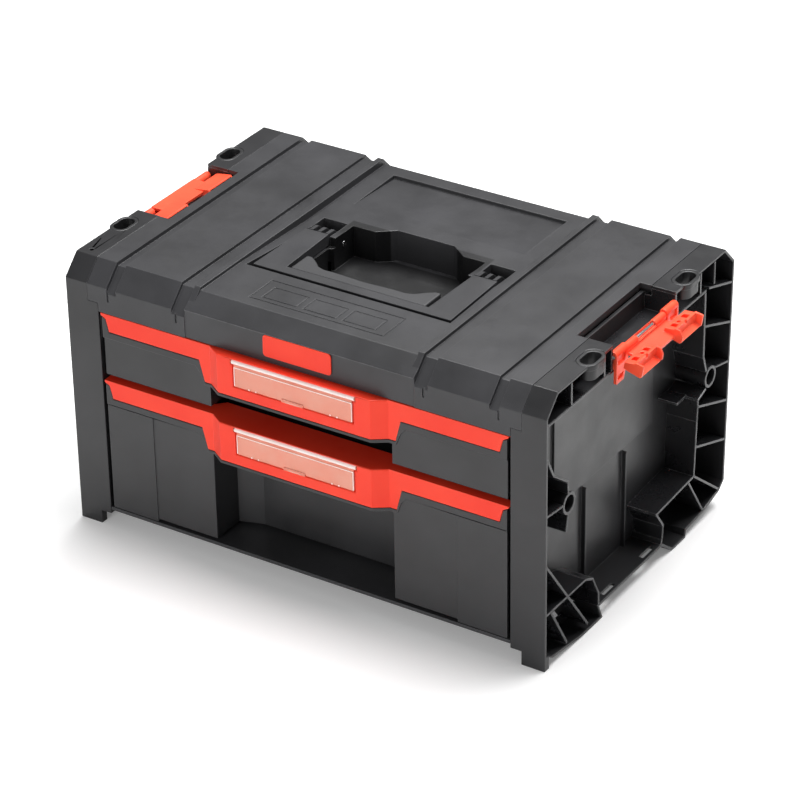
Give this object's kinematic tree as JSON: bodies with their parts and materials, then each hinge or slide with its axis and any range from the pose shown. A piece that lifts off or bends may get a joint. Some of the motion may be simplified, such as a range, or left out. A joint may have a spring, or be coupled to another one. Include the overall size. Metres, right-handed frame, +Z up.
{
  "type": "portable tool box with drawers",
  "caption": "Portable plastic tool box with pull-out drawers, clear label flaps, a folding carry handle and swinging side latches.",
  "frame": {"origin": "on the floor, under the middle of the overall bounding box with the drawers closed, the handle down and the right-hand latch open", "axes": "+Z up, the drawers pull out along -Y, +X towards the right-hand side as seen from the front"},
  "size_m": [0.4804, 0.3112, 0.244],
  "materials": {
    "charcoal_plastic": "fine-grained matt",
    "runner_plastic": "smooth matt",
    "grip_rubber": "soft matt",
    "red_plastic": "satin",
    "orange_plastic": "satin",
    "label_card": "matt",
    "clear_plastic": "clear, tinted",
    "steel": "polished"
  },
  "bodies": {
    "case": {"top_panel": "charcoal_plastic", "left_side_panel": "charcoal_plastic", "right_side_panel": "charcoal_plastic", "back_panel": "charcoal_plastic", "base_panel": "charcoal_plastic", "left_side_web": "charcoal_plastic", "right_side_web": "charcoal_plastic", "side_bosses": "charcoal_plastic", "stack_sockets": "charcoal_plastic", "drawer_runners": "runner_plastic", "name_badge": "red_plastic", "handle_pins": "steel", "left_latch_bracket": "orange_plastic", "left_latch_pin": "steel", "right_latch_bracket": "orange_plastic", "right_latch_pin": "steel"},
    "carry_handle": {"handle_frame": "charcoal_plastic", "handle_grip": "grip_rubber"},
    "upper_drawer": {"upper_drawer_tub": "charcoal_plastic", "upper_drawer_trim": "red_plastic", "upper_label_card": "label_card"},
    "upper_label_flap": {"upper_label_window": "clear_plastic"},
    "lower_drawer": {"lower_drawer_tub": "charcoal_plastic", "lower_drawer_trim": "red_plastic", "lower_label_card": "label_card"},
    "lower_label_flap": {"lower_label_window": "clear_plastic"},
    "left_latch": {"left_latch_clip": "orange_plastic"},
    "right_latch": {"right_latch_clip": "orange_plastic"}
  },
  "joints": [
    {"name": "carry_handle_hinge", "type": "hinge", "parent": "case", "child": "carry_handle", "pos_m": [-0.01115, 0.0186, 0.227], "axis": [-1, 0, 0], "range_deg": [0, 90]},
    {"name": "upper_drawer_slide", "type": "slide", "parent": "case", "child": "upper_drawer", "axis": [0, -1, 0], "range_m": [0, 0.2]},
    {"name": "lower_drawer_slide", "type": "slide", "parent": "case", "child": "lower_drawer", "axis": [0, -1, 0], "range_m": [0, 0.2]},
    {"name": "upper_label_hinge", "type": "hinge", "parent": "upper_drawer", "child": "upper_label_flap", "pos_m": [-0.01115, -0.1526, 0.2002], "axis": [-1, 0, 0], "range_deg": [0, 90]},
    {"name": "lower_label_hinge", "type": "hinge", "parent": "lower_drawer", "child": "lower_label_flap", "pos_m": [-0.01115, -0.1526, 0.1379], "axis": [-1, 0, 0], "range_deg": [0, 90]},
    {"name": "left_latch_hinge", "type": "hinge", "parent": "case", "child": "left_latch", "pos_m": [-0.23585, 0.0046, 0.2325], "axis": [0, -1, 0], "range_deg": [0, 189]},
    {"name": "right_latch_hinge", "type": "hinge", "parent": "case", "child": "right_latch", "pos_m": [0.21355, 0.0046, 0.2325], "axis": [0, -1, 0], "range_deg": [0, 189]}
  ]
}
